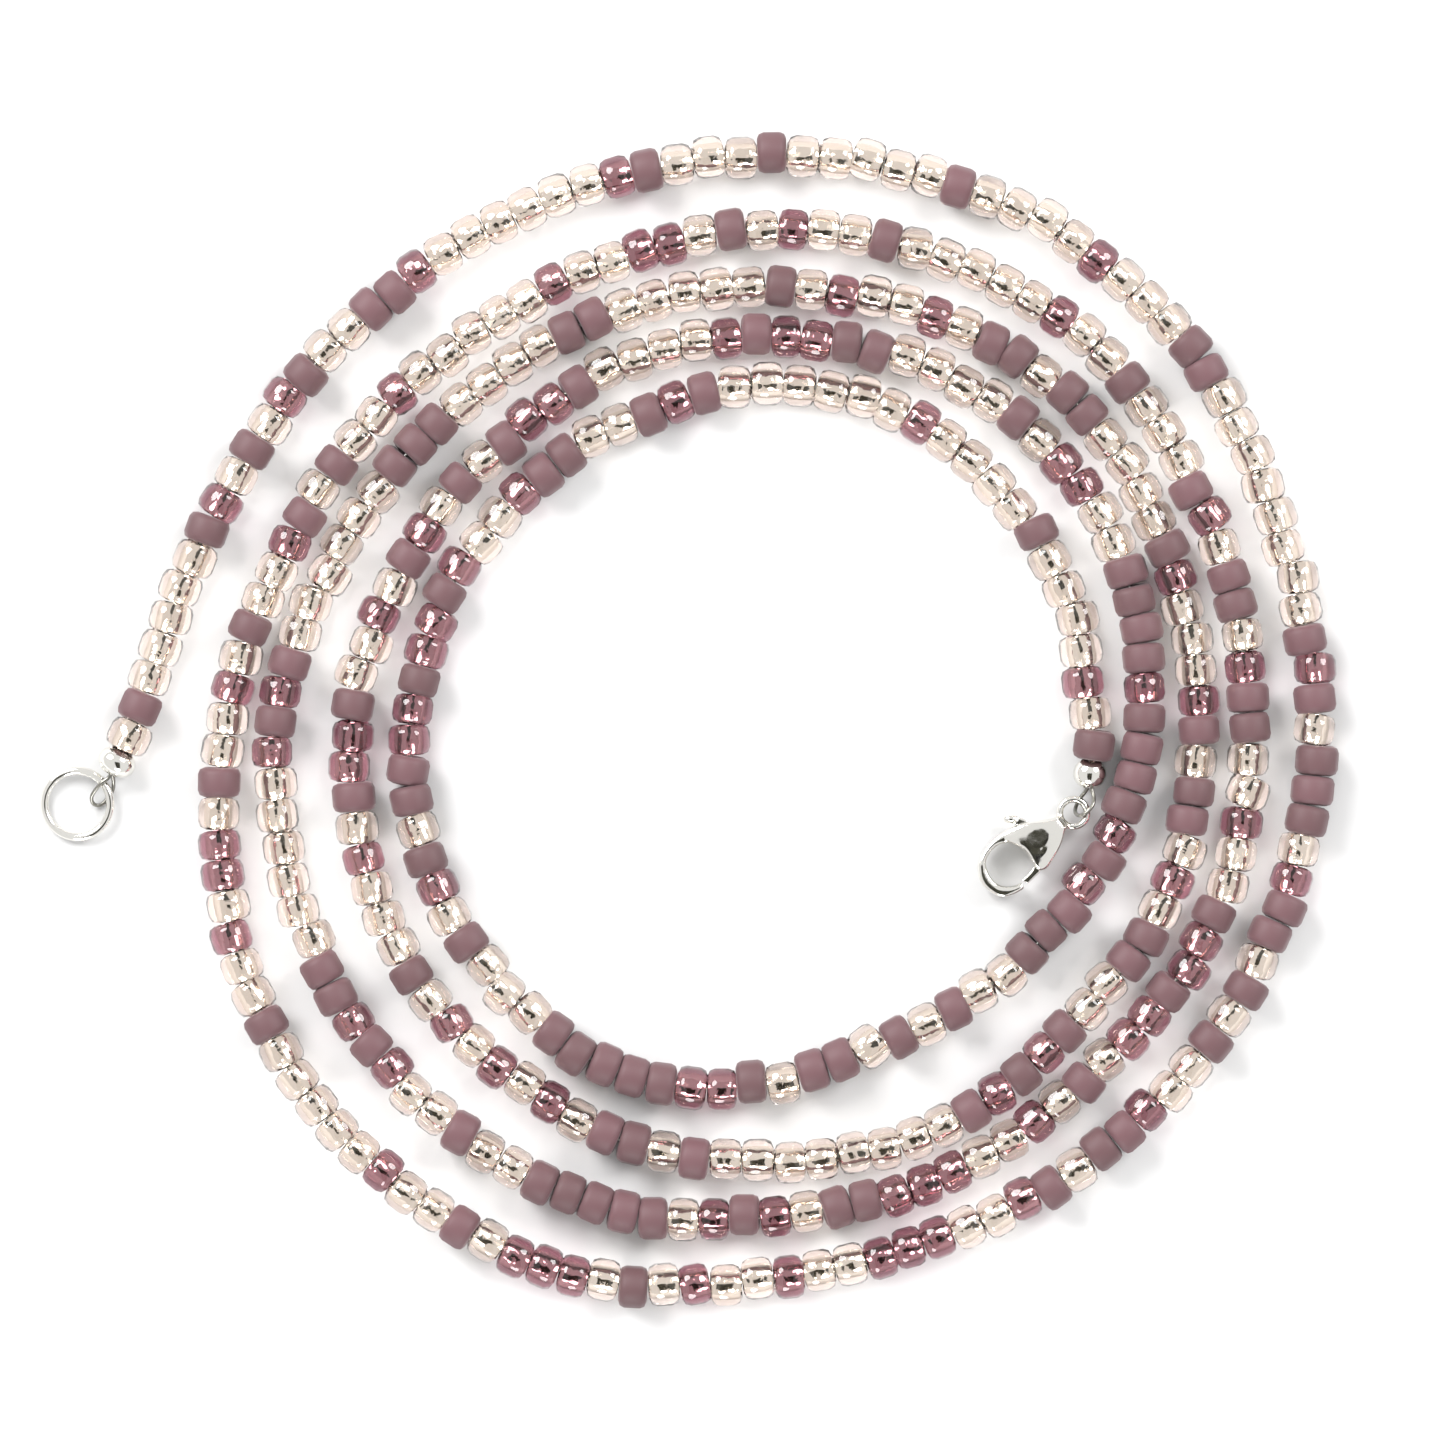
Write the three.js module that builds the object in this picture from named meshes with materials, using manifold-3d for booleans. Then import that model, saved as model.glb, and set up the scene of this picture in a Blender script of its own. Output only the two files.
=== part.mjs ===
// Beaded eyeglass retainer: one strand of seed beads on a beading wire, with a closed ring at its outer
// end and a lobster clasp at its inner end, laid flat in a loose spiral.
// Millimetres, +Z up, lying on z = 0, with the origin at the middle of its footprint.
import * as THREE from 'three';
import { mergeVertices } from 'three/addons/utils/BufferGeometryUtils.js';
import Module from 'manifold-3d';

const wasm = await Module();
wasm.setup();

// ---- Driving dimensions ----

// Seed beads, size 8/0
const BEAD_DIAMETER = 3.0;
const BEAD_BORE = 1.3;
const RUN_INTERVALS = 2; // route intervals in one run of beads
const RUN_GAP = 0.3;

// Beading wire
const WIRE_DIAMETER = 0.3;
const WIRE_SIDES = 8;
const LOOP_STEPS = 40;
const TAIL_HEIGHT = 1.1; // of the folded-back wire tail that lies under the wire in the first beads
const TAIL_SHARE = 0.6; // of the first or last route interval that the tail reaches along

// Crimps: a flattened tube on the two wires, inside a round cover
const CRIMP_WIRE_SPACING = 0.4;
const CRIMP_LENGTH = 1.2;
const CRIMP_HALF = { wide: 0.48, high: 0.65 };
const CRIMP_BORE_HALF = { wide: 0.27, high: 0.45 };
const COVER_SEAM = 0.12;
const COVER_HOLE = 1.1;
const RING_COVER = { x: -42.79, y: -2.77, heading: -116.5, radius: 1.45, halfLength: 1.13, wall: 0.25 };
const CLASP_COVER = { x: 30.18, y: -3.63, heading: -89, radius: 1.25, halfLength: 1.2, wall: 0.2 };

// End ring: round wire, tilted where it rests on its wire loop
const RING = { x: -45.83, y: -5.92, radius: 2.5, wire: 0.64, near: 25, lift: 0.5, clearance: 0.02 };

// Lobster clasp: x runs from the middle of the eyelet to the hook, y from the back to the gate
const CLASP = { x: 28.95, y: -6.59, height: 1.3, heading: -140.7 };
const EYELET = { radius: 1.04, halfWidth: 0.27, halfHeight: 0.42 };
const BULB_THICKNESS = 2.6; // between the flats at the tops of its domed cheeks
const BULB_DOME = { x: 3.3, y: -0.3, halfX: 3.5, halfY: 2.9, halfZ: 1.34 };
const HOOK_THICKNESS = 1.7;
const PIVOT = { x: 3.5, y: 0.75, pinRadius: 0.25, holeRadius: 0.28, hubRadius: 0.62 };
const PIN_LENGTH = 2.4;
const SLOT_THICKNESS = 0.84;
const LEVER_THICKNESS = 0.7;
const THUMB_TAB = { x: 3.9, y: -2.62, heading: -41, halfLength: 0.68, halfWidth: 0.36, halfHeight: 0.55 };
const SPRING_POCKET = { radius: 0.6, top: 0.85 };
const SPRING = { radius: 0.43, wire: 0.14, bottom: 0.53, rise: 0.18, turns: 1.5 };

// The strand's lay: its distance from the middle of the spiral, clockwise from the left, a row half a turn
const DIRECTIONS = 18;
const HALF_TURN_RADII = [
  [41.6, 39.0, 38.8, 39.5, 41.1, 43.4, 45.6, 47.1, 46.7],
  [47.1, 46.6, 45.0, 43.2, 42.0, 42.1, 40.9, 39.3, 37.0],
  [34.7, 33.1, 32.7, 33.4, 35.2, 37.8, 40.1, 41.8, 42.0],
  [42.1, 42.0, 40.1, 38.9, 37.4, 36.7, 34.9, 33.4, 31.8],
  [31.0, 29.5, 29.2, 29.9, 31.5, 33.4, 35.7, 37.8, 38.3],
  [38.3, 38.2, 36.5, 35.4, 33.2, 31.4, 29.2, 27.6, 26.1],
  [25.2, 24.4, 24.6, 25.5, 27.6, 29.6, 31.9, 34.0, 34.7],
  [34.2, 32.5, 30.0, 27.9, 27.5, 26.6, 24.5, 23.0, 21.7],
  [20.7, 20.4, 20.8, 21.8, 23.4, 25.9, 28.0, 29.1, 30.0],
  [30.3],
];
const LAY_HEIGHT = BEAD_DIAMETER / 2;

// Middle of the footprint in the spiral's coordinates
const MIDDLE = { x: -0.025, y: 0.659 };

// ---- Finishes ----

const finish = (color, roughness, metalness) =>
  new THREE.MeshStandardMaterial({ color, roughness, metalness });

const matteMauveGlass = () => finish(0x8a656c, 0.85, 0);
const silverLinedRoseGlass = () => finish(0xe6cfc4, 0.15, 0.3);
const silverLinedPlumGlass = () => finish(0x8c4a58, 0.15, 0.3);
const polishedSilver = () => finish(0xd8d8d4, 0.15, 1);
const coatedWire = () => finish(0x6b6a66, 0.4, 0.6);
const springSteel = () => finish(0x9a9a9a, 0.3, 1);
const RUN_FINISHES = [silverLinedRoseGlass, matteMauveGlass, silverLinedRoseGlass, silverLinedPlumGlass];

// ---- Helpers ----

const radians = THREE.MathUtils.degToRad;
const xyz = ([x, y, z]) => new THREE.Vector3(x, y, z);

function part(name, geometry, material) {
  const mesh = new THREE.Mesh(geometry, material);
  mesh.name = name;
  return mesh;
}

// A polygon whose flats are `across` apart, with a flat on each axis
function evenPolygon(sides, across) {
  const radius = across / 2 / Math.cos(Math.PI / sides);
  return Array.from({ length: sides }, (_, i) => {
    const angle = ((i + 0.5) * 2 * Math.PI) / sides;
    return new THREE.Vector2(radius * Math.cos(angle), radius * Math.sin(angle));
  });
}

function ellipse(halfX, halfY, sides) {
  return new THREE.EllipseCurve(0, 0, halfX, halfY).getPoints(sides).slice(0, sides);
}

// A path through given points with given tangents, one extrusion step to each point
class StationPath extends THREE.Curve {
  constructor(points, tangents) {
    super();
    this.points = points;
    this.tangents = tangents;
  }
  blend(list, t) {
    const place = t * (list.length - 1);
    const first = Math.min(Math.floor(place), list.length - 2);
    return list[first].clone().lerp(list[first + 1], place - first);
  }
  getPointAt(t) {
    return this.blend(this.points, t);
  }
  getTangentAt(t) {
    return this.blend(this.tangents, t).normalize();
  }
}

function sweep(section, path, steps, bore = null) {
  const shape = new THREE.Shape(section);
  if (bore) shape.holes.push(new THREE.Path(bore));
  return new THREE.ExtrudeGeometry(shape, { steps, extrudePath: path });
}

function plate(outline, thickness, bevel = null) {
  const { size = 0, depth = 0 } = bevel ?? {};
  const geometry = new THREE.ExtrudeGeometry(outline, {
    depth: thickness - 2 * depth,
    bevelEnabled: bevel !== null,
    bevelSize: size,
    bevelOffset: -size,
    bevelThickness: depth,
    bevelSegments: 2,
    curveSegments: 2,
  });
  return geometry.translate(0, 0, depth - thickness / 2);
}

function cylinder(radius, length, sides = 12) {
  return new THREE.CylinderGeometry(radius, radius, length, sides).rotateX(Math.PI / 2);
}

function solidOf(geometry) {
  const bare = geometry.clone();
  bare.deleteAttribute('normal');
  bare.deleteAttribute('uv');
  const merged = mergeVertices(bare, 1e-4);
  const vertProperties = Float32Array.from(merged.attributes.position.array);
  const triVerts = Uint32Array.from(merged.index.array);
  return new wasm.Manifold(new wasm.Mesh({ numProp: 3, vertProperties, triVerts }));
}

function geometryOf(solid) {
  const mesh = solid.getMesh();
  const geometry = new THREE.BufferGeometry();
  geometry.setAttribute('position', new THREE.BufferAttribute(mesh.vertProperties, 3));
  geometry.setIndex(new THREE.BufferAttribute(mesh.triVerts, 1));
  geometry.computeVertexNormals();
  return geometry;
}

// A ball stretched to its three half sizes
function ellipsoid(halfX, halfY, halfZ, segments, rings) {
  return new THREE.SphereGeometry(1, segments, rings).rotateX(Math.PI / 2).scale(halfX, halfY, halfZ);
}

// ---- The strand's route ----

const turnPoints = HALF_TURN_RADII.flat().map((radius, i) => {
  const angle = Math.PI - (i * 2 * Math.PI) / DIRECTIONS;
  return new THREE.Vector3(radius * Math.cos(angle), radius * Math.sin(angle), LAY_HEIGHT);
});
const stations = [
  new THREE.Vector3(RING_COVER.x, RING_COVER.y, LAY_HEIGHT),
  ...turnPoints,
  new THREE.Vector3(CLASP_COVER.x, CLASP_COVER.y, LAY_HEIGHT),
];
const route = new THREE.CatmullRomCurve3(stations, false, 'centripetal');
const tangents = stations.map((_, i) => route.getTangent(i / (stations.length - 1)));

const model = new THREE.Group();

// ---- Beads: runs between the covers, each a tube with the beads' outer size and bore ----

const beadSection = evenPolygon(8, BEAD_DIAMETER);
const boreSection = evenPolygon(8, BEAD_BORE);

function beadRun(number, first, last) {
  const points = stations.slice(first, last + 1).map((point) => point.clone());
  const along = tangents.slice(first, last + 1);
  const startGap = first === 0 ? RING_COVER.halfLength + RUN_GAP : RUN_GAP / 2;
  const endGap = last === stations.length - 1 ? CLASP_COVER.halfLength + RUN_GAP : RUN_GAP / 2;
  points[0].addScaledVector(along[0], startGap);
  points.at(-1).addScaledVector(along.at(-1), -endGap);
  const geometry = sweep(beadSection, new StationPath(points, along), last - first, boreSection);
  const material = RUN_FINISHES[(number - 1) % RUN_FINISHES.length]();
  return part(`bead_run_${String(number).padStart(2, '0')}`, geometry, material);
}

const lastStation = stations.length - 1;
const runStarts = [0];
while (runStarts.at(-1) + 2 * RUN_INTERVALS <= lastStation) runStarts.push(runStarts.at(-1) + RUN_INTERVALS);
runStarts.forEach((first, i) => model.add(beadRun(i + 1, first, runStarts[i + 1] ?? lastStation)));

// ---- Beading wire: through every bead, and a loop through the fitting at each end ----

const wireSection = evenPolygon(WIRE_SIDES, WIRE_DIAMETER);
const coverTop = (cover) => cover.radius + CRIMP_WIRE_SPACING / 2;
const coverLow = (cover) => cover.radius - CRIMP_WIRE_SPACING / 2;

const wirePoints = stations.map((point) => point.clone());
wirePoints[0].z = coverTop(RING_COVER);
wirePoints.at(-1).z = coverTop(CLASP_COVER);
const wireGeometry = sweep(wireSection, new StationPath(wirePoints, tangents), lastStation);
model.add(part('beading_wire', wireGeometry, coatedWire()));

// A loop leaves the cover on the upper wire's line, goes through the fitting, and comes back below it
// to run on as a tail inside the nearest beads
function wireLoop(name, cover, points, inner, outer) {
  const out = new THREE.Vector3(Math.cos(radians(cover.heading)), Math.sin(radians(cover.heading)), 0);
  const middle = new THREE.Vector3(cover.x, cover.y, 0);
  const onAxis = (distance, z) => middle.clone().addScaledVector(out, distance).setZ(z);
  const tailEnd = inner.clone().lerp(outer, TAIL_SHARE).setZ(TAIL_HEIGHT);
  const path = new THREE.CatmullRomCurve3([
    onAxis(0.3, coverTop(cover)),
    onAxis(0.8, coverTop(cover)),
    ...points.map(xyz),
    onAxis(0.8, coverLow(cover)),
    onAxis(0, coverLow(cover)),
    inner.clone().setZ(TAIL_HEIGHT),
    inner.clone().lerp(tailEnd, 0.5).setZ(TAIL_HEIGHT),
    tailEnd,
  ], false, 'centripetal');
  return part(name, sweep(wireSection, path, LOOP_STEPS), coatedWire());
}

model.add(wireLoop('ring_wire_loop', RING_COVER, [
  [-43.42, -3.95, 1.55],
  [-43.95, -4.35, 1.5],
  [-44.45, -4.9, 1.25],
  [-44.75, -5.45, 0.85],
  [-44.6, -5.95, 0.42],
  [-44.1, -6.0, 0.21],
  [-43.4, -5.5, 0.2],
  [-42.95, -4.95, 0.35],
  [-42.95, -4.35, 0.8],
], stations[1], stations[2]));

model.add(wireLoop('clasp_wire_loop', CLASP_COVER, [
  [30.3, -4.8, 1.5],
  [30.45, -5.3, 1.65],
  [30.4, -5.9, 2.02],
  [30.05, -6.42, 2.2],
  [29.65, -6.7, 2.08],
  [29.3, -6.76, 1.5],
  [29.1, -6.5, 0.95],
  [29.2, -6.05, 0.62],
  [29.5, -5.5, 0.6],
  [29.9, -4.95, 0.85],
], stations.at(-2), stations.at(-3)));

// ---- Crimps: Z runs out of the strand along the wire, Y is up ----

function crimp(end, cover) {
  const out = new THREE.Vector3(Math.cos(radians(cover.heading)), Math.sin(radians(cover.heading)), 0);
  const up = new THREE.Vector3(0, 0, 1);
  const group = new THREE.Group();
  group.quaternion.setFromRotationMatrix(
    new THREE.Matrix4().makeBasis(new THREE.Vector3().crossVectors(up, out), up, out));
  group.position.set(cover.x, cover.y, cover.radius);

  const tube = new THREE.Shape(ellipse(CRIMP_HALF.wide, CRIMP_HALF.high, 12));
  tube.holes.push(new THREE.Path(ellipse(CRIMP_BORE_HALF.wide, CRIMP_BORE_HALF.high, 12)));
  group.add(part(`${end}_crimp_tube`, plate(tube, CRIMP_LENGTH), polishedSilver()));

  const arcSteps = 6;
  const shellArc = (radius, halfLength) => {
    const start = Math.asin(COVER_HOLE / 2 / radius);
    return Array.from({ length: arcSteps + 1 }, (_, i) => {
      const angle = start + ((Math.PI - 2 * start) * i) / arcSteps;
      return new THREE.Vector2(radius * Math.sin(angle), halfLength * Math.cos(angle));
    });
  };
  const outerArc = shellArc(cover.radius, cover.halfLength);
  const innerArc = shellArc(cover.radius - cover.wall, cover.halfLength - cover.wall).reverse();
  const profile = [...outerArc, ...innerArc, outerArc[0]].reverse();
  const shell = new THREE.LatheGeometry(profile, 16).rotateX(Math.PI / 2);
  const seamHeight = 1.5 * cover.radius;
  const seam = new THREE.BoxGeometry(COVER_SEAM, seamHeight, 4 * cover.halfLength);
  seam.translate(0, -seamHeight / 2 - CRIMP_HALF.high / 2, 0);
  const split = solidOf(shell).subtract(solidOf(seam));
  group.add(part(`${end}_crimp_cover`, geometryOf(split), polishedSilver()));
  return group;
}

model.add(crimp('ring', RING_COVER), crimp('clasp', CLASP_COVER));

// ---- End ring ----

// A ring about Z whose round section is halfWidth wide each way and halfHeight high each way
function roundRing(radius, halfWidth, halfHeight, segments) {
  const section = evenPolygon(8, 2).map(
    (point) => new THREE.Vector2(radius + point.x * halfWidth, point.y * halfHeight));
  section.push(section[0]);
  return new THREE.LatheGeometry(section, segments).rotateX(Math.PI / 2);
}

const ring = part('end_ring', roundRing(RING.radius, RING.wire / 2, RING.wire / 2, 32), polishedSilver());
const ringTilt = Math.asin(RING.lift / (2 * RING.radius));
const tiltAxis = new THREE.Vector3(Math.sin(radians(RING.near)), -Math.cos(radians(RING.near)), 0);
ring.quaternion.setFromAxisAngle(tiltAxis, ringTilt);
ring.position.set(RING.x, RING.y, (RING.wire + RING.lift) / 2 + RING.clearance);
model.add(ring);

// ---- Lobster clasp ----

const clasp = new THREE.Group();
clasp.rotation.z = radians(CLASP.heading);
clasp.position.set(CLASP.x, CLASP.y, CLASP.height);
model.add(clasp);

const through = (shape, points) => shape.splineThru(points.map(([x, y]) => new THREE.Vector2(x, y)));

// The claw: neck, back, hook, and round the opening to the nose
const claw = new THREE.Shape();
claw.moveTo(1.0, -0.5);
through(claw, [[1.95, -0.95], [3.2, -1.75], [4.5, -2.18], [5.7, -2.3], [6.9, -2.12], [8.0, -1.6]]);
through(claw, [[8.6, -0.7], [8.7, 0.2], [8.25, 1.4], [7.4, 1.88], [6.42, 2.06]]);
claw.lineTo(6.3, 1.57);
through(claw, [[7.1, 1.3], [7.75, 0.6], [7.85, -0.3], [7.4, -1.35], [6.3, -1.73], [5.4, -1.5], [4.9, -0.9]]);
through(claw, [
  [4.7, 0], [4.72, 0.7], [4.84, 1.3], [4.78, 1.7], [4.25, 1.96], [3.4, 1.73], [2.2, 1.28], [1.0, 0.5]]);

// The bulb: the thick part that holds the lever, with domed cheeks
const bulb = new THREE.Shape();
bulb.moveTo(1.15, -0.45);
through(bulb, [[2.0, -0.9], [3.2, -1.7], [4.4, -2.12]]);
bulb.lineTo(5.3, -2.15);
bulb.lineTo(5.1, -1.3);
through(bulb, [[4.78, -0.6], [4.68, 0], [4.7, 0.7], [4.8, 1.3]]);
bulb.lineTo(4.7, 1.68);
bulb.lineTo(4.2, 1.88);
through(bulb, [[3.4, 1.68], [2.2, 1.22], [1.15, 0.45]]);

const dome = ellipsoid(BULB_DOME.halfX, BULB_DOME.halfY, BULB_DOME.halfZ, 36, 24);
dome.translate(BULB_DOME.x, BULB_DOME.y, 0);
const domedBulb = solidOf(plate(bulb, BULB_THICKNESS, { size: 0.25, depth: 0.5 })).intersect(solidOf(dome));

const pinHole = cylinder(PIVOT.holeRadius, 2 * BULB_THICKNESS).translate(PIVOT.x, PIVOT.y, 0);
const slot = new THREE.BoxGeometry(3.2, 2.75, SLOT_THICKNESS).translate(3.4, 0.475, 0);
const backSlot = new THREE.BoxGeometry(2.55, 2.5, SLOT_THICKNESS).translate(3.075, -1.9, 0);
const pocketHeight = SPRING_POCKET.top;
const pocket = cylinder(SPRING_POCKET.radius, pocketHeight).translate(PIVOT.x, PIVOT.y, pocketHeight / 2);

const claspBody = solidOf(plate(claw, HOOK_THICKNESS, { size: 0.18, depth: 0.3 }))
  .add(domedBulb)
  .add(solidOf(roundRing(EYELET.radius, EYELET.halfWidth, EYELET.halfHeight, 24)))
  .subtract(solidOf(slot))
  .subtract(solidOf(backSlot))
  .subtract(solidOf(pocket))
  .subtract(solidOf(pinHole));
clasp.add(part('clasp_body', geometryOf(claspBody), polishedSilver()));

// The lever: gate on one side of the pivot, thumb tab on the other
const leverOutline = new THREE.Shape();
leverOutline.moveTo(6.0, 1.93);
leverOutline.lineTo(4.8, 1.85);
leverOutline.lineTo(3.7, 1.4);
leverOutline.lineTo(3.05, 1.2);
leverOutline.lineTo(2.85, 0.4);
through(leverOutline, [[2.9, -0.9], [3.0, -1.6], [3.3, -2.25], [3.75, -2.72]]);
leverOutline.lineTo(4.1, -2.45);
through(leverOutline, [
  [3.88, -1.95], [3.86, -1.2], [4.0, 0.2], [4.2, 0.65], [4.85, 1.22], [5.5, 1.42], [6.2, 1.45]]);
const leverHole = cylinder(PIVOT.holeRadius, 2 * LEVER_THICKNESS).translate(PIVOT.x, PIVOT.y, 0);
const tab = ellipsoid(THUMB_TAB.halfLength, THUMB_TAB.halfWidth, THUMB_TAB.halfHeight, 16, 10);
tab.rotateZ(radians(THUMB_TAB.heading)).translate(THUMB_TAB.x, THUMB_TAB.y, 0);
const lever = solidOf(plate(leverOutline, LEVER_THICKNESS)).add(solidOf(tab)).subtract(solidOf(leverHole));
clasp.add(part('clasp_lever', geometryOf(lever), polishedSilver()));

const pin = cylinder(PIVOT.pinRadius, PIN_LENGTH).translate(PIVOT.x, PIVOT.y, 0);
clasp.add(part('clasp_pin', pin, polishedSilver()));

const coilPoints = Array.from({ length: SPRING.turns * 12 + 1 }, (_, i) => {
  const angle = (i * Math.PI) / 6;
  const z = SPRING.bottom + (SPRING.rise * i) / 12;
  return new THREE.Vector3(
    PIVOT.x + SPRING.radius * Math.cos(angle), PIVOT.y + SPRING.radius * Math.sin(angle), z);
});
const coil = new THREE.CatmullRomCurve3(coilPoints);
const springSection = evenPolygon(6, SPRING.wire);
clasp.add(part('clasp_spring', sweep(springSection, coil, coilPoints.length - 1), springSteel()));

// ---- The whole strap, moved so that the middle of its footprint is the origin ----

model.position.set(-MIDDLE.x, -MIDDLE.y, 0);

export default model;
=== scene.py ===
from math import atan2, cos, pi, radians, sin
from random import Random

import bpy
from mathutils import Matrix, Vector
from mathutils.geometry import interpolate_bezier


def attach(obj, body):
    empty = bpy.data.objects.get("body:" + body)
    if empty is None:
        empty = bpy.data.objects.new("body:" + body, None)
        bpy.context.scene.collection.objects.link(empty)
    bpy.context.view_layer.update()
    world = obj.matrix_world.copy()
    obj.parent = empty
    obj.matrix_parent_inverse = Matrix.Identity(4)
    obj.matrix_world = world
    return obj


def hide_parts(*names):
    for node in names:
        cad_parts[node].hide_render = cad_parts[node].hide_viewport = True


# Beaded eyeglass retainer: a strand of seed beads on a beading wire, laid in a loose flat spiral, with a
# closed ring at its outer end and a lobster clasp at its inner end. Lengths are in millimetres times MM.
MM = 0.001

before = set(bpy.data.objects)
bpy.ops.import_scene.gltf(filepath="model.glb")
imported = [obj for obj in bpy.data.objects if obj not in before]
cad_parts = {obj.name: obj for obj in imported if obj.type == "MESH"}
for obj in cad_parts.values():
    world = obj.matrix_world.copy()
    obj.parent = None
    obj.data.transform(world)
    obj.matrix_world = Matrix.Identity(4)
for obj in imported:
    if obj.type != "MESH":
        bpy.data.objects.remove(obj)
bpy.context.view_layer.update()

# ---- The strand's lay, as in the solid model ----

MIDDLE = Vector((-0.025, 0.659, 0))  # middle of the footprint in the spiral's own coordinates
LAY_HEIGHT = 1.5
DIRECTIONS = 18
# Distance from the middle of the spiral, clockwise from the left, a row half a turn
HALF_TURN_RADII = (
    (41.6, 39.0, 38.8, 39.5, 41.1, 43.4, 45.6, 47.1, 46.7),
    (47.1, 46.6, 45.0, 43.2, 42.0, 42.1, 40.9, 39.3, 37.0),
    (34.7, 33.1, 32.7, 33.4, 35.2, 37.8, 40.1, 41.8, 42.0),
    (42.1, 42.0, 40.1, 38.9, 37.4, 36.7, 34.9, 33.4, 31.8),
    (31.0, 29.5, 29.2, 29.9, 31.5, 33.4, 35.7, 37.8, 38.3),
    (38.3, 38.2, 36.5, 35.4, 33.2, 31.4, 29.2, 27.6, 26.1),
    (25.2, 24.4, 24.6, 25.5, 27.6, 29.6, 31.9, 34.0, 34.7),
    (34.2, 32.5, 30.0, 27.9, 27.5, 26.6, 24.5, 23.0, 21.7),
    (20.7, 20.4, 20.8, 21.8, 23.4, 25.9, 28.0, 29.1, 30.0),
    (30.3,),
)
RING_COVER = Vector((-42.79, -2.77, 1.45))
CLASP_COVER = Vector((30.18, -3.63, 1.25))
RING_END_HEADING = -116.5  # degrees, of the strand as it runs out through each cover
CLASP_END_HEADING = -89
CRIMP_SPACING = 0.2  # of each of the crimped wires above or below the middle of the cover
WIRE_DIAMETER = 0.3
TAIL_POINTS = (3, 6, 9)  # millimetres along the strand from a cover
TAIL_DROP = 0.35  # of the folded-back tail below the wire

# The beads in threading order from the ring: rose, mauve and plum
THREADING = (
    "PMPPPPPMAPMPAMPP MMAPPPPPPAMPPPMP PPPPMPPPPAPPPMMP PPPPPPPMAMPMMMPA MMPMPMPPAMMPMAPP"
    "AAAPPAPPAPMPAAA PMPPAPPPPPMPPAPA APMPPAPMPPAMPMPP APPPPPAPPAAPMPAPP MPPPPPAPPMPPPMA"
    "PMMPAMMPPAPPMAAM AAPMPAPPAAAMMPAM APMMMMMPPMPPAMAM MPPPPPPAMAMPPPPP PMMMPPPPMMPPPPPM"
    "PAPPAPMMPMMPPPPMA PPPAMPMMPAPMMPPM AMAMPPPPPPPPMPM MPAPAPAPMPPPAPMA AMPPAPMAPMPMAAMPP"
    "PPAMAAMMPPPPMPAA PPMMMMAMMMMAMAMM MPPMPMPMMPMAAMMM MMPPPMPAMPMMAAMAA MAPPAMMPPMAMPPPP"
    "PPAPPPPMPPPPAPM"
).replace(" ", "")


def place(x, y, z):
    """A point given in the spiral's millimetres, in the frame's metres."""
    return (Vector((x, y, z)) - MIDDLE) * MM


route = [place(*RING_COVER.xy, RING_COVER.z + CRIMP_SPACING)]
for i, radius in enumerate(radius for half_turn in HALF_TURN_RADII for radius in half_turn):
    angle = pi - i * 2 * pi / DIRECTIONS
    route.append(place(radius * cos(angle), radius * sin(angle), LAY_HEIGHT))
route.append(place(*CLASP_COVER.xy, CLASP_COVER.z + CRIMP_SPACING))


# ---- Camera ----

camera = bpy.data.objects.new("camera", bpy.data.cameras.new("camera"))
bpy.context.collection.objects.link(camera)
camera.location = (2.65 * MM, -0.47 * MM, 600 * MM)
camera.data.lens = 198.8
camera.data.clip_start = 0.01
bpy.context.scene.camera = camera


# ---- Modelling helpers ----

def put_down():
    """Leaves edit mode with nothing selected."""
    if bpy.context.mode != "OBJECT":
        bpy.ops.object.mode_set(mode="OBJECT")
    bpy.ops.object.select_all(action="DESELECT")


def pick(piece):
    put_down()
    piece.select_set(True)
    bpy.context.view_layer.objects.active = piece


def new_piece(name):
    """Names the object just added, and the data it holds."""
    piece = bpy.context.object
    piece.name = piece.data.name = name
    return piece


def set_in_place(piece):
    """Moves the object's place into its mesh."""
    pick(piece)
    bpy.ops.object.transform_apply(location=True, rotation=True, scale=True)


def apply_modifier(piece, kind, **settings):
    pick(piece)
    modifier = piece.modifiers.new(kind.lower(), kind)
    for name, value in settings.items():
        setattr(modifier, name, value)
    bpy.ops.object.modifier_apply(modifier=modifier.name)


def select_ring(piece, height):
    """In edit mode, selects the vertices at one height."""
    bpy.ops.mesh.select_all(action="DESELECT")
    bpy.ops.object.mode_set(mode="OBJECT")
    for vertex in piece.data.vertices:
        vertex.select = abs(vertex.co.z - height) < 1e-7
    bpy.ops.object.mode_set(mode="EDIT")


def wire_line(name, points):
    """A round wire on one smooth line through the points, and the close stations of that line."""
    curve = bpy.data.curves.new(name, "CURVE")
    curve.dimensions = "3D"
    curve.resolution_u = 6
    curve.bevel_depth = WIRE_DIAMETER / 2 * MM
    curve.bevel_resolution = 2
    curve.use_fill_caps = True
    knots = curve.splines.new("BEZIER").bezier_points
    last = len(points) - 1
    knots.add(last)
    for i, (knot, point) in enumerate(zip(knots, points)):
        before, after = points[max(i - 1, 0)], points[min(i + 1, last)]
        heading = (after - before).normalized()
        knot.handle_left_type = knot.handle_right_type = "FREE"
        knot.co = point
        knot.handle_left = point - heading * (point - before).length / 3
        knot.handle_right = point + heading * (after - point).length / 3
    line = [points[0]]
    for left, right in zip(knots, knots[1:]):
        line += interpolate_bezier(left.co, left.handle_right, right.handle_left, right.co, 25)[1:]
    wire = bpy.data.objects.new(name, curve)
    bpy.context.collection.objects.link(wire)
    pick(wire)
    bpy.ops.object.convert(target="MESH")
    wire = new_piece(name)
    bpy.ops.object.shade_smooth()
    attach(wire, "strand")
    return wire, line


# ---- Beading wire ----

beading_wire, stations = wire_line("strand_wire", route)
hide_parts("beading_wire")

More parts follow.
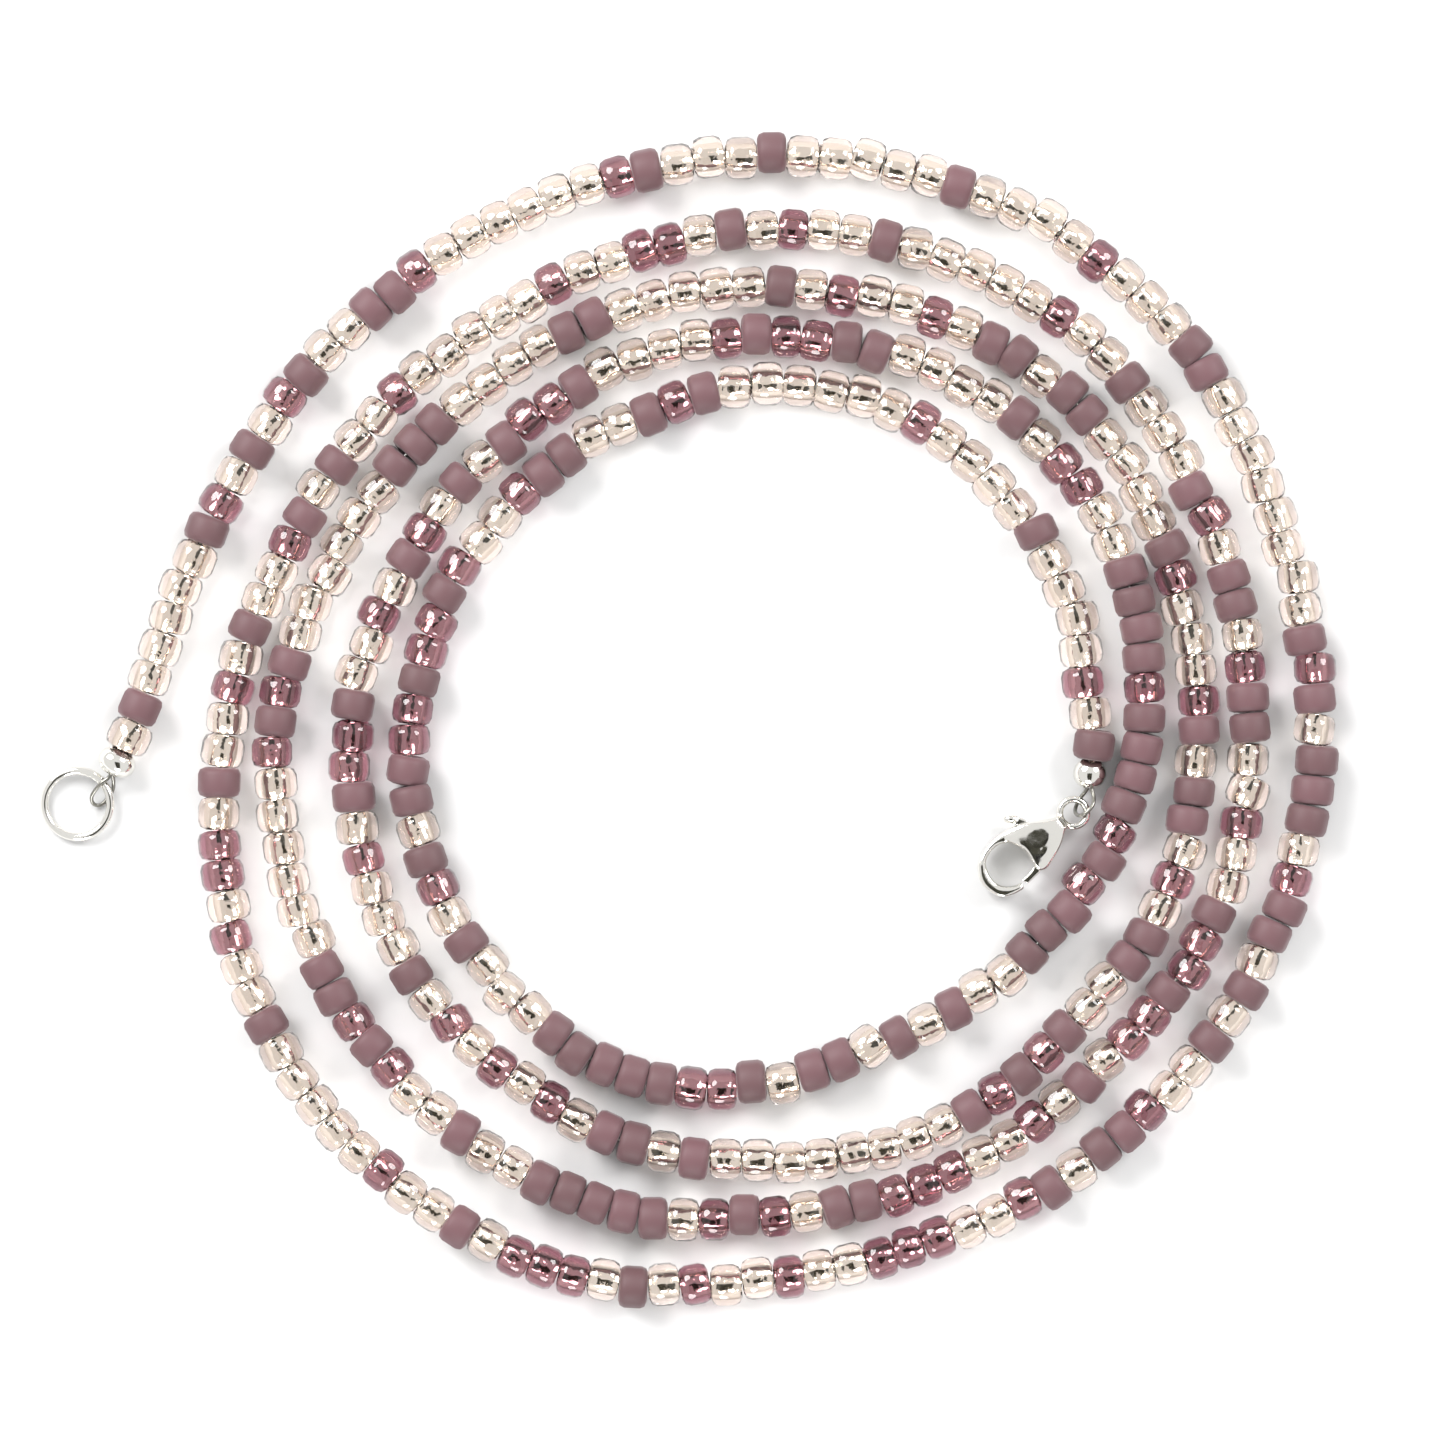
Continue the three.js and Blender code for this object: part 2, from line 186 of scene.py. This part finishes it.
distances = [0.0]
for left, right in zip(stations, stations[1:]):
    distances.append(distances[-1] + (right - left).length)


def along_wire(distance):
    """The point at a distance along the wire, and the wire's heading there."""
    i = next(i for i in range(1, len(distances)) if distances[i] >= distance or i == len(distances) - 1)
    share = (distance - distances[i - 1]) / (distances[i] - distances[i - 1])
    return stations[i - 1].lerp(stations[i], share), (stations[i] - stations[i - 1]).normalized()


def wire_loop(name, cover, heading, points, tail):
    """A loop out of the crimp, through a fitting and back, with its tail in the nearest beads."""
    out = Vector((cos(radians(heading)), sin(radians(heading)), 0))
    high = Vector((0, 0, CRIMP_SPACING))
    loop, _ = wire_line(name, [
        place(*(cover + out * 0.3 + high)),
        place(*(cover + out * 0.8 + high)),
        *(place(*point) for point in points),
        place(*(cover + out * 0.8 - high)),
        place(*(cover - high)),
        *tail,
    ])
    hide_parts(name.replace("_line", ""))
    return loop


def tail_points(distances_along):
    """Points of a folded-back tail, under the wire inside the beads."""
    drop = Vector((0, 0, TAIL_DROP * MM))
    return [along_wire(distance)[0] - drop for distance in distances_along]


total = distances[-1]
ring_loop = wire_loop("ring_wire_loop_line", RING_COVER, RING_END_HEADING, (
    (-43.42, -3.95, 1.55),
    (-43.95, -4.35, 1.5),
    (-44.45, -4.9, 1.25),
    (-44.75, -5.45, 0.85),
    (-44.6, -5.95, 0.42),
    (-44.1, -6.0, 0.21),
    (-43.55, -5.45, 0.2),
    (-43.2, -4.9, 0.35),
    (-43.1, -4.3, 0.8),
), tail_points([distance * MM for distance in TAIL_POINTS]))
clasp_loop = wire_loop("clasp_wire_loop_line", CLASP_COVER, CLASP_END_HEADING, (
    (30.3, -4.8, 1.5),
    (30.45, -5.3, 1.65),
    (30.4, -5.9, 2.02),
    (30.05, -6.42, 2.2),
    (29.65, -6.7, 2.08),
    (29.3, -6.76, 1.5),
    (29.1, -6.5, 0.95),
    (29.2, -6.05, 0.62),
    (29.5, -5.5, 0.6),
    (29.9, -4.95, 0.85),
), tail_points([total - distance * MM for distance in TAIL_POINTS]))


# ---- Seed beads ----

BORE_RADIUS = 0.68
LINING_RADIUS = 0.72
BEAD_RADIUS = 1.6
# Length of each kind's bead, the matte ones cut shorter, and how far its edges are rounded
BEAD_LENGTHS = {"P": 2.36, "M": 2.2, "A": 2.25}
BEAD_ROUNDINGS = {"P": 0.62, "M": 0.5, "A": 0.6}
MOUTH_DEPTH = 0.25  # of the widening at each end of the bore
LINING_INSET = 0.2  # of the lining's ends inside the bead's
LINING_THICKNESS = 0.03
FIRST_BEAD = 0.95  # from the ring's cover, and the last bead's end from the clasp's
LAST_BEAD = 1.0
BEAD_LIFT = 0.15  # of a bead's axis above the wire: a bead is thicker here than in the solid model


def seed_bead(name, length, rounding):
    """A round bead with its bore along Z: a tube drawn out at both ends and closed round the outside."""
    half = length / 2
    put_down()
    bpy.ops.mesh.primitive_cylinder_add(
        vertices=10, radius=BORE_RADIUS * MM, depth=(length - 2 * MOUTH_DEPTH) * MM,
        end_fill_type="NOTHING")
    bead = new_piece(name)
    bpy.ops.object.mode_set(mode="EDIT")
    height, radius = half - MOUTH_DEPTH, BORE_RADIUS
    # mouth, shoulder and side at the top, the same at the bottom, and back to the bore
    outline = [
        (half, BEAD_RADIUS - rounding),
        (half - 0.3 * rounding, BEAD_RADIUS - 0.3 * rounding),
        (half - rounding, BEAD_RADIUS),
    ]
    outline += [(-z, r) for z, r in reversed(outline)] + [(MOUTH_DEPTH - half, BORE_RADIUS)]
    for next_height, next_radius in outline:
        select_ring(bead, height * MM)
        bpy.ops.mesh.extrude_edges_move(
            TRANSFORM_OT_translate={"value": (0, 0, (next_height - height) * MM)})
        bpy.ops.transform.resize(
            value=(next_radius / radius, next_radius / radius, 1), center_override=(0, 0, next_height * MM))
        height, radius = next_height, next_radius
    bpy.ops.mesh.select_all(action="SELECT")
    bpy.ops.mesh.remove_doubles(threshold=0.01 * MM)
    bpy.ops.mesh.normals_make_consistent(inside=False)
    bpy.ops.object.mode_set(mode="OBJECT")
    bpy.ops.object.shade_smooth()
    return bead


def foil_lining(name, length):
    """The silvered wall of the bore, a touch outside the bore."""
    put_down()
    bpy.ops.mesh.primitive_cylinder_add(
        vertices=10, radius=LINING_RADIUS * MM, depth=(length - 2 * LINING_INSET) * MM,
        end_fill_type="NOTHING")
    lining = new_piece(name)
    apply_modifier(lining, "SOLIDIFY", thickness=LINING_THICKNESS * MM, offset=-1)
    pick(lining)
    bpy.ops.object.shade_smooth_by_angle(angle=radians(60))
    return lining


patterns = {
    "P": (
        seed_bead("rose_beads", BEAD_LENGTHS["P"], BEAD_ROUNDINGS["P"]),
        foil_lining("rose_linings", BEAD_LENGTHS["P"]),
    ),
    "M": (seed_bead("mauve_beads", BEAD_LENGTHS["M"], BEAD_ROUNDINGS["M"]),),
    "A": (
        seed_bead("plum_beads", BEAD_LENGTHS["A"], BEAD_ROUNDINGS["A"]),
        foil_lining("plum_linings", BEAD_LENGTHS["A"]),
    ),
}
threaded = {pattern: [] for kind in patterns.values() for pattern in kind}

hand = Random(8)
lengths = [BEAD_LENGTHS[kind] * (1 + hand.uniform(-0.03, 0.03)) for kind in THREADING]
first, last = FIRST_BEAD * MM, total - LAST_BEAD * MM
spread = (last - first) / sum(lengths)
distance = first
for kind, length in zip(THREADING, lengths):
    point, heading = along_wire(distance + length * spread / 2)
    distance += length * spread
    # each bead sits a little off the wire, tipped and turned its own way
    point.z = (LAY_HEIGHT + BEAD_LIFT) * MM
    point += heading.cross(Vector((0, 0, 1))) * hand.gauss(0, 0.12) * MM
    turn = Matrix.Rotation(atan2(heading.y, heading.x) + hand.gauss(0, radians(4.5)), 4, "Z")
    tip = Matrix.Rotation(pi / 2 + hand.gauss(0, radians(2)), 4, "Y")
    roll = Matrix.Rotation(hand.uniform(0, 2 * pi), 4, "Z")
    size = 1 + hand.uniform(-0.02, 0.02)
    stretch = Matrix.Diagonal((size, size, length / BEAD_LENGTHS[kind], 1))
    shade = hand.random()
    for pattern in patterns[kind]:
        copy = pattern.copy()
        copy.data = pattern.data.copy()
        copy.data.transform(Matrix.Translation(point) @ turn @ tip @ roll @ stretch)
        copy.data.attributes.new("bead_shade", "FLOAT", "POINT").data.foreach_set(
            "value", [shade] * len(copy.data.vertices))
        bpy.context.collection.objects.link(copy)
        threaded[pattern].append(copy)


def join_beads(name):
    """All the copies of one pattern as one piece."""
    pattern = bpy.data.objects[name]
    copies = threaded.pop(pattern)
    bpy.data.objects.remove(pattern)
    put_down()
    for copy in copies:
        copy.select_set(True)
    bpy.context.view_layer.objects.active = copies[0]
    bpy.ops.object.join()
    piece = new_piece(name)
    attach(piece, "strand")
    return piece


rose_beads, rose_linings = join_beads("rose_beads"), join_beads("rose_linings")
mauve_beads = join_beads("mauve_beads")
plum_beads, plum_linings = join_beads("plum_beads"), join_beads("plum_linings")
runs = sorted(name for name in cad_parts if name.startswith("bead_run"))
for beads, mine, slot in (
    (rose_beads, runs[0::2], "silver_lined_rose_glass"),
    (mauve_beads, runs[1::4], "matte_mauve_glass"),
    (plum_beads, runs[3::4], "silver_lined_plum_glass"),
):
    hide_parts(*mine)
# light goes through clear glass to the table
rose_beads.visible_shadow = plum_beads.visible_shadow = False


# ---- Crimp covers ----

def crimp_cover(name, cover, heading, radius, half_length, wall):
    """A folded-shut hollow bead, open at its two ends, its seam towards the table."""
    put_down()
    bpy.ops.mesh.primitive_uv_sphere_add(segments=24, ring_count=16, radius=radius * MM)
    shell = new_piece(name + "_shell")
    bpy.ops.object.mode_set(mode="EDIT")
    bpy.ops.mesh.select_all(action="DESELECT")
    bpy.ops.object.mode_set(mode="OBJECT")
    for vertex in shell.data.vertices:
        vertex.select = vertex.co.xy.length < 0.3 * MM
    bpy.ops.object.mode_set(mode="EDIT")
    bpy.ops.mesh.delete(type="VERT")
    bpy.ops.object.mode_set(mode="OBJECT")
    shell.scale = (1, 1, half_length / radius)
    apply_modifier(shell, "SOLIDIFY", thickness=wall * MM, offset=-1)
    # the seam between the folded edges
    shell.rotation_euler = (0, pi / 2, radians(heading))
    shell.location = place(*cover.xy, radius)
    set_in_place(shell)
    put_down()
    bpy.ops.mesh.primitive_cube_add(
        size=1, location=place(*cover.xy, 0), rotation=(0, 0, radians(heading)),
        scale=(5 * MM, 0.1 * MM, 1.4 * radius * MM))
    seam = new_piece("seam")
    apply_modifier(shell, "BOOLEAN", object=seam, operation="DIFFERENCE", solver="EXACT")
    bpy.data.objects.remove(seam)
    apply_modifier(
        shell, "BEVEL", width=0.03 * MM, segments=2, limit_method="ANGLE", angle_limit=radians(60))
    pick(shell)
    bpy.ops.object.shade_smooth_by_angle(angle=radians(40))
    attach(shell, "strand")
    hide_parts(name)
    return shell


ring_cover = crimp_cover("ring_crimp_cover", RING_COVER, RING_END_HEADING, 1.45, 1.13, 0.25)
clasp_cover = crimp_cover("clasp_crimp_cover", CLASP_COVER, CLASP_END_HEADING, 1.25, 1.2, 0.2)


# ---- End ring ----

RING = Vector((-45.83, -5.92, 0.59))
RING_TILT = radians(5.74)
RING_NEAR = radians(25)

put_down()
bpy.ops.mesh.primitive_torus_add(
    major_segments=64, minor_segments=16, major_radius=2.5 * MM, minor_radius=0.32 * MM)
end_ring = new_piece("end_ring_polished")
bpy.ops.object.mode_set(mode="EDIT")
bpy.ops.mesh.select_all(action="DESELECT")
bpy.ops.object.mode_set(mode="OBJECT")
# the soldered joint stands a little proud
for vertex in end_ring.data.vertices:
    vertex.select = abs(atan2(vertex.co.y, vertex.co.x) - 2.4) < 0.1
bpy.ops.object.mode_set(mode="EDIT")
bpy.ops.transform.shrink_fatten(value=0.02 * MM)
bpy.ops.object.mode_set(mode="OBJECT")
bpy.ops.object.shade_smooth()
end_ring.matrix_world = (Matrix.Translation(place(*RING))
                         @ Matrix.Rotation(RING_TILT, 4, (sin(RING_NEAR), -cos(RING_NEAR), 0)))
set_in_place(end_ring)
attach(end_ring, "end_ring")
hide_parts("end_ring")


# ---- Lobster clasp ----

def rough_casting(node, name):
    """The solid model's shape as a new piece."""
    casting = bpy.data.objects.new(name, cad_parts[node].data.copy())
    bpy.context.collection.objects.link(casting)
    pick(casting)
    bpy.ops.object.mode_set(mode="EDIT")
    bpy.ops.mesh.select_all(action="SELECT")
    bpy.ops.mesh.remove_doubles(threshold=0.001 * MM)
    bpy.ops.object.mode_set(mode="OBJECT")
    return casting


def tumble(casting, grain, rounds):
    """Rounds a small casting's edges over, as tumbling and buffing do."""
    apply_modifier(casting, "REMESH", mode="VOXEL", voxel_size=grain * MM)
    apply_modifier(casting, "SMOOTH", factor=0.5, iterations=rounds)
    pick(casting)
    bpy.ops.object.shade_smooth()


# the lever's pin is riveted over and buffed flush with the cheeks, so it is cast in here
PIVOT = place(26.7168, -9.3873, 1.3)

clasp_body = rough_casting("clasp_body", "clasp_casting")
put_down()
bpy.ops.mesh.primitive_cylinder_add(vertices=24, radius=0.285 * MM, depth=2.48 * MM, location=PIVOT)
rivet = new_piece("rivet")
apply_modifier(clasp_body, "BOOLEAN", object=rivet, operation="UNION", solver="EXACT")
bpy.data.objects.remove(rivet)
tumble(clasp_body, 0.07, 20)
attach(clasp_body, "clasp")
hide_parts("clasp_body", "clasp_pin")

clasp_lever = rough_casting("clasp_lever", "clasp_thumb_lever")
tumble(clasp_lever, 0.05, 16)
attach(clasp_lever, "clasp_lever")
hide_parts("clasp_lever")


# ---- Materials ----

def linear(colour):
    """An sRGB hex colour as linear red, green and blue with alpha."""
    channels = [int(colour[i:i + 2], 16) / 255 for i in (1, 3, 5)]
    return (*(c / 12.92 if c <= 0.04045 else ((c + 0.055) / 1.055) ** 2.4 for c in channels), 1)


def new_material(name):
    material = bpy.data.materials.new(name)
    material.use_nodes = True
    material.node_tree.nodes.clear()
    return material


def add_node(material, kind, inputs=None, **settings):
    """Adds a node with its settings; an input takes a value or another node's output."""
    node = material.node_tree.nodes.new(kind)
    for name, value in settings.items():
        setattr(node, name, value)
    for name, value in (inputs or {}).items():
        if isinstance(value, bpy.types.NodeSocket):
            material.node_tree.links.new(value, node.inputs[name])
        else:
            node.inputs[name].default_value = value
    return node


def matte_mauve_glass():
    """Opaque glass etched in acid: its skin scatters light, so it looks velvety, with no highlight."""
    material = new_material("matte_mauve_glass")
    position = add_node(material, "ShaderNodeTexCoord").outputs["Object"]
    shade = add_node(material, "ShaderNodeAttribute", attribute_name="bead_shade").outputs["Fac"]
    # glass from different rods differs a little in colour
    colour = add_node(material, "ShaderNodeMix", {
        0: shade, 6: linear("#513538"), 7: linear("#5C3C41")}, data_type="RGBA").outputs[2]
    # etch pits are some 0.02 mm across, drawn at 0.1 mm
    pits = add_node(material, "ShaderNodeTexNoise", {
        "Vector": position, "Scale": 1 / (0.1 * MM), "Detail": 3}).outputs["Fac"]
    skin = add_node(material, "ShaderNodeBump", {
        "Height": pits, "Strength": 0.4, "Distance": 0.01 * MM}).outputs["Normal"]
    shader = add_node(material, "ShaderNodeBsdfPrincipled", {
        "Base Color": colour, "Roughness": 0.62, "IOR": 1.52, "Normal": skin,
        "Sheen Weight": 0.15, "Sheen Roughness": 0.5})
    add_node(material, "ShaderNodeOutputMaterial", {"Surface": shader.outputs[0]})
    return material


def clear_glass(name, pale, deep):
    """Fire-polished clear glass over a silvered bore: bright and wet, its colour gathering at the edges."""
    material = new_material(name)
    position = add_node(material, "ShaderNodeTexCoord").outputs["Object"]
    shade = add_node(material, "ShaderNodeAttribute", attribute_name="bead_shade").outputs["Fac"]
    colour = add_node(material, "ShaderNodeMix", {
        0: shade, 6: linear(pale), 7: linear(deep)}, data_type="RGBA").outputs[2]
    # drawn glass is wavy over about 0.8 mm
    waves = add_node(material, "ShaderNodeTexNoise", {
        "Vector": position, "Scale": 1 / (0.8 * MM), "Detail": 1}).outputs["Fac"]
    skin = add_node(material, "ShaderNodeBump", {
        "Height": waves, "Strength": 0.3, "Distance": 0.08 * MM}).outputs["Normal"]
    shader = add_node(material, "ShaderNodeBsdfPrincipled", {
        "Base Color": colour, "Roughness": 0.02, "IOR": 1.52, "Transmission Weight": 1, "Normal": skin})
    add_node(material, "ShaderNodeOutputMaterial", {"Surface": shader.outputs[0]})
    return material


def silver_foil():
    """Silver deposited in the bore: a mirror with sharp little crinkles that break its reflections up."""
    material = new_material("silver_lining_foil")
    position = add_node(material, "ShaderNodeTexCoord").outputs["Object"]
    # creases about 0.8 mm apart
    creases = add_node(material, "ShaderNodeTexVoronoi", {
        "Vector": position, "Scale": 1 / (0.8 * MM)}).outputs["Distance"]
    folds = add_node(material, "ShaderNodeBump", {
        "Height": creases, "Strength": 0.6, "Distance": 0.12 * MM}).outputs["Normal"]
    # and finer wrinkles, about 0.3 mm apart
    wrinkles = add_node(material, "ShaderNodeTexNoise", {
        "Vector": position, "Scale": 1 / (0.3 * MM), "Detail": 1, "Distortion": 0.6}).outputs["Fac"]
    skin = add_node(material, "ShaderNodeBump", {
        "Height": wrinkles, "Strength": 0.35, "Distance": 0.04 * MM, "Normal": folds}).outputs["Normal"]
    shader = add_node(material, "ShaderNodeBsdfPrincipled", {
        "Base Color": linear("#F6F3EA"), "Metallic": 1, "Roughness": 0.06, "Normal": skin})
    add_node(material, "ShaderNodeOutputMaterial", {"Surface": shader.outputs[0]})
    return material


def polished_silver():
    """Cast silver, tumbled and buffed: a mirror softened here and there by fine handling marks."""
    material = new_material("polished_silver")
    position = add_node(material, "ShaderNodeTexCoord").outputs["Object"]
    marks = add_node(material, "ShaderNodeTexNoise", {
        "Vector": position, "Scale": 1 / (0.5 * MM), "Detail": 4}).outputs["Fac"]
    roughness = add_node(material, "ShaderNodeMapRange", {
        "Value": marks, "From Min": 0.3, "From Max": 0.7, "To Min": 0.05, "To Max": 0.14}).outputs[0]
    # casting ripples that buffing leaves, over about 0.7 mm
    ripples = add_node(material, "ShaderNodeTexNoise", {
        "Vector": position, "Scale": 1 / (0.7 * MM), "Detail": 1}).outputs["Fac"]
    skin = add_node(material, "ShaderNodeBump", {
        "Height": ripples, "Strength": 0.25, "Distance": 0.05 * MM}).outputs["Normal"]
    shader = add_node(material, "ShaderNodeBsdfPrincipled", {
        "Base Color": linear("#ECEAE4"), "Metallic": 1, "Roughness": roughness, "Normal": skin})
    add_node(material, "ShaderNodeOutputMaterial", {"Surface": shader.outputs[0]})
    return material


def nylon_coated_wire():
    """Seven twisted steel strands under clear nylon: dark grey, with a soft shine; the strands are drawn
    only as a fine bump.
    """
    material = new_material("nylon_coated_wire")
    position = add_node(material, "ShaderNodeTexCoord").outputs["Object"]
    # strands are 0.1 mm across
    strands = add_node(material, "ShaderNodeTexNoise", {
        "Vector": position, "Scale": 1 / (0.1 * MM), "Detail": 1}).outputs["Fac"]
    skin = add_node(material, "ShaderNodeBump", {
        "Height": strands, "Strength": 0.5, "Distance": 0.02 * MM}).outputs["Normal"]
    shader = add_node(material, "ShaderNodeBsdfPrincipled", {
        "Base Color": linear("#76746C"), "Metallic": 0.8, "Roughness": 0.3, "Normal": skin,
        "Coat Weight": 1, "Coat Roughness": 0.1, "Coat IOR": 1.53})
    add_node(material, "ShaderNodeOutputMaterial", {"Surface": shader.outputs[0]})
    return material


def spring_steel():
    """Hard-drawn wire: bright, with fine drawing marks."""
    material = new_material("spring_steel")
    position = add_node(material, "ShaderNodeTexCoord").outputs["Object"]
    marks = add_node(material, "ShaderNodeTexNoise", {
        "Vector": position, "Scale": 1 / (0.05 * MM), "Detail": 2}).outputs["Fac"]
    roughness = add_node(material, "ShaderNodeMapRange", {
        "Value": marks, "To Min": 0.2, "To Max": 0.4}).outputs[0]
    shader = add_node(material, "ShaderNodeBsdfPrincipled", {
        "Base Color": linear("#A8A8A6"), "Metallic": 1, "Roughness": roughness})
    add_node(material, "ShaderNodeOutputMaterial", {"Surface": shader.outputs[0]})
    return material


def give(material, *pieces):
    for piece in pieces:
        piece.data.materials.clear()
        piece.data.materials.append(material)


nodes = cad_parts
foil = silver_foil()
give(matte_mauve_glass(), mauve_beads)
give(clear_glass("silver_lined_rose_glass", "#F0E4DE", "#E8DAD3"), rose_beads)
give(clear_glass("silver_lined_plum_glass", "#AC7E88", "#9A6B77"), plum_beads)
give(foil, rose_linings, plum_linings)
give(polished_silver(), ring_cover, clasp_cover, end_ring, clasp_body, clasp_lever,
     nodes["ring_crimp_tube"], nodes["clasp_crimp_tube"])
give(nylon_coated_wire(), beading_wire, ring_loop, clasp_loop)
give(spring_steel(), nodes["clasp_spring"])


# ---- Floor and light ----

def white_paper():
    """Matte white paper."""
    material = new_material("white_paper")
    shader = add_node(material, "ShaderNodeBsdfPrincipled", {
        "Base Color": linear("#C2C2C2"), "Roughness": 0.9, "Specular IOR Level": 0.2})
    add_node(material, "ShaderNodeOutputMaterial", {"Surface": shader.outputs[0]})
    return material


def painted_reflection_card():
    """Dark olive sheet seen only in reflections, painting dark reflected bands into the foils and silver,
    with painted light and shade of uneven folds.
    """
    material = new_material("painted_reflection_card")
    position = add_node(material, "ShaderNodeTexCoord").outputs["Object"]
    # painted light and shade of folds about 120 mm apart
    folds = add_node(material, "ShaderNodeTexNoise", {
        "Vector": position, "Scale": 1 / (120 * MM), "Detail": 2}).outputs["Fac"]
    # painted shade: near black where the folds are unlit, dark olive where they are lit
    colour = add_node(material, "ShaderNodeValToRGB", {"Fac": folds})
    colour.color_ramp.elements[0].position = 0.42
    colour.color_ramp.elements[0].color = linear("#100E0B")
    colour.color_ramp.elements[1].position = 0.62
    colour.color_ramp.elements[1].color = linear("#3E3D33")
    shader = add_node(material, "ShaderNodeBsdfPrincipled", {
        "Base Color": colour.outputs[0], "Roughness": 1})
    add_node(material, "ShaderNodeOutputMaterial", {"Surface": shader.outputs[0]})
    return material


put_down()
bpy.ops.mesh.primitive_plane_add(size=4, location=(0, 0, 0))
floor = new_piece("floor")
give(white_paper(), floor)

# a dark sheet over the strap and to its front, seen only in its reflections: it paints dark reflected bands
# into the foils and silver
put_down()
bpy.ops.mesh.primitive_plane_add(size=1, location=(0, -275 * MM, 400 * MM))
cloth = new_piece("cloth")
cloth.scale = (240 * MM, 560 * MM, 1)
set_in_place(cloth)
cloth.visible_camera = cloth.visible_diffuse = cloth.visible_shadow = False
give(painted_reflection_card(), cloth)

world = bpy.data.worlds.new("studio")
world.use_nodes = True
world.node_tree.nodes["Background"].inputs["Color"].default_value = (1, 1, 1, 1)
world.node_tree.nodes["Background"].inputs["Strength"].default_value = 0.9
bpy.context.scene.world = world


def softbox(name, location, size, energy):
    """A round softbox that faces the strap."""
    light = bpy.data.objects.new(name, bpy.data.lights.new(name, "AREA"))
    bpy.context.collection.objects.link(light)
    light.data.shape = "DISK"
    light.data.size = size
    light.data.energy = energy
    light.location = location
    light.rotation_euler = (-light.location).to_track_quat("-Z", "Y").to_euler()


softbox("key_softbox", (-0.55, 0.55, 0.6), 0.6, 14)
softbox("side_softbox", (0.6, 0.4, 0.55), 0.45, 7)
softbox("front_softbox", (-0.1, -0.75, 0.3), 0.35, 4)

bpy.context.scene.view_settings.view_transform = "Standard"

put_down()
